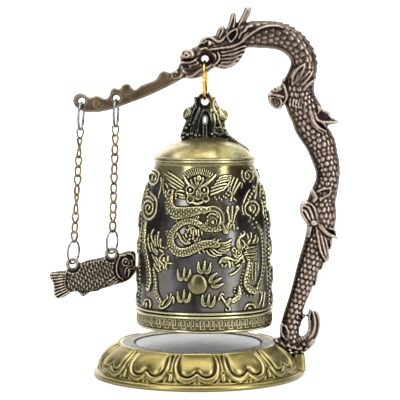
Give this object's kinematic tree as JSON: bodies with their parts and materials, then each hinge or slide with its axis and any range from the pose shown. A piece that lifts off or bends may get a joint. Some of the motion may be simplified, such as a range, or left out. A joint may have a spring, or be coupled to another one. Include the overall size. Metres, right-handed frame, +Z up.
{
  "type": "temple bell",
  "caption": "Table-top temple bell: relief-cast brass bell on a dragon arm over a lotus base, with a carp striker hung on two chains.",
  "frame": {"origin": "centre of the pad under the base, on the surface that the bell stands on", "axes": "+Z up, +X from the striker towards the dragon's back, +Y from the front of the bell to its back"},
  "size_m": [0.1168, 0.085, 0.1497],
  "materials": {
    "brass_base": "antique brushed",
    "brass_bell": "antique brushed with dark recesses",
    "bronze_arm": "antique bronze with rubbed highlights",
    "bronze_fish": "antique bronze with rubbed highlights",
    "blackened_brass": "blackened with rubbed highlights",
    "polished_disc": "polished",
    "gilt_wire": "bright",
    "steel_wire": "bright",
    "brass_chain": "bright with tarnish",
    "felt": "matte",
    "screw_steel": "zinc plated"
  },
  "bodies": {
    "stand": {"base_casting": "brass_base", "base_pad": "felt", "inlay_disc": "polished_disc", "arm_screw": "screw_steel", "dragon_arm": "bronze_arm"},
    "hang_ring": {"bell_ring": "gilt_wire"},
    "bell": {"bell_body": "brass_bell", "bell_crown": "blackened_brass", "crown_screw": "screw_steel"},
    "jump_ring_a": {"ring_a_top": "steel_wire"},
    "chain_a": {"link_a_01": "brass_chain", "link_a_02": "brass_chain", "link_a_03": "brass_chain", "link_a_04": "brass_chain", "link_a_05": "brass_chain", "link_a_06": "brass_chain", "link_a_07": "brass_chain", "link_a_08": "brass_chain", "link_a_09": "brass_chain", "link_a_10": "brass_chain", "link_a_11": "brass_chain", "link_a_12": "brass_chain", "ring_a_bottom": "steel_wire"},
    "striker": {"fish_striker": "bronze_fish"},
    "jump_ring_b": {"ring_b_top": "steel_wire"},
    "chain_b": {"link_b_01": "brass_chain", "link_b_02": "brass_chain", "link_b_03": "brass_chain", "link_b_04": "brass_chain", "link_b_05": "brass_chain", "link_b_06": "brass_chain", "link_b_07": "brass_chain", "link_b_08": "brass_chain", "link_b_09": "brass_chain", "link_b_10": "brass_chain", "link_b_11": "brass_chain", "ring_b_bottom": "steel_wire"}
  },
  "joints": [
    {"name": "ring_swing", "type": "hinge", "parent": "stand", "child": "hang_ring", "pos_m": [0.0028, 0, 0.12745], "axis": [0, -1, 0], "range_deg": [0, 1.2]},
    {"name": "bell_sway", "type": "hinge", "parent": "hang_ring", "child": "bell", "pos_m": [0.0028, 0, 0.1117], "axis": [1, 0, 0], "range_deg": [-12, 12]},
    {"name": "striker_swing", "type": "hinge", "parent": "stand", "child": "jump_ring_a", "pos_m": [-0.047, 0, 0.1106], "axis": [0, 1, 0], "range_deg": [0, 26]},
    {"name": "striker_sway", "type": "hinge", "parent": "jump_ring_a", "child": "chain_a", "pos_m": [-0.04763, 0, 0.10032], "axis": [1, 0, 0], "range_deg": [-5.5, 5.5]},
    {"name": "striker_level", "type": "hinge", "parent": "chain_a", "child": "striker", "pos_m": [-0.051, 0, 0.04495], "axis": [0, 1, 0], "range_deg": [-24.5, 0]},
    {"name": "chain_b_swing", "type": "hinge", "parent": "stand", "child": "jump_ring_b", "pos_m": [-0.033, 0, 0.1118], "axis": [0, 1, 0], "range_deg": [0, 27.5]},
    {"name": "chain_b_sway", "type": "hinge", "parent": "jump_ring_b", "child": "chain_b", "pos_m": [-0.03334, 0, 0.10151], "axis": [1, 0, 0], "range_deg": [-6, 6]}
  ],
  "couplings": [
    {"joint": "chain_b_swing", "follows": "striker_swing", "ratio": 1.04},
    {"joint": "striker_level", "follows": "striker_swing", "ratio": -0.915},
    {"joint": "chain_b_sway", "follows": "striker_sway", "ratio": 1}
  ]
}
